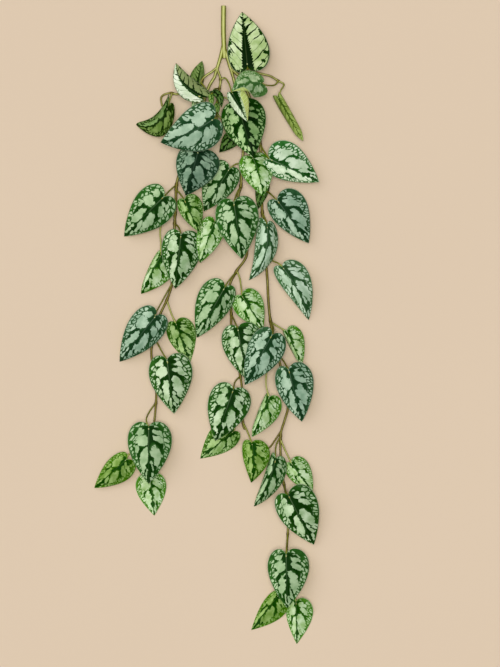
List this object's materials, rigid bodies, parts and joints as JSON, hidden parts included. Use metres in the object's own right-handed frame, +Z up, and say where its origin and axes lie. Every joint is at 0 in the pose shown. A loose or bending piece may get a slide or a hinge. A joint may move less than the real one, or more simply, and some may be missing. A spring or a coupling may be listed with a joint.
{
  "type": "satin pothos spray",
  "caption": "Cut trailing spray of satin pothos lying on a surface: a forked stock with crown shoots and long vines of heart-shaped leaves on thin petioles.",
  "frame": {"origin": "on the surface that the spray lies on, below the middle of its bounding box", "axes": "+Y from the leaf tips of the vines towards the cut end of the stock, +X to the right seen from above, +Z up from the surface"},
  "size_m": [0.2824, 0.8, 0.0485],
  "materials": {
    "stem": "smooth satin olive-green bark, browner towards the nodes",
    "leaf": "satin dark green blade with silver-green marbling",
    "pale_leaf": "satin blade, pale silver-green marbling over light green"
  },
  "bodies": {
    "root": {"stock": "stem", "crown_left_shoot": "leaf", "crown_middle_shoot": "leaf", "crown_right_shoot": "pale_leaf", "left_vine": "leaf", "middle_vine": "leaf", "right_vine": "leaf"}
  },
  "joints": []
}
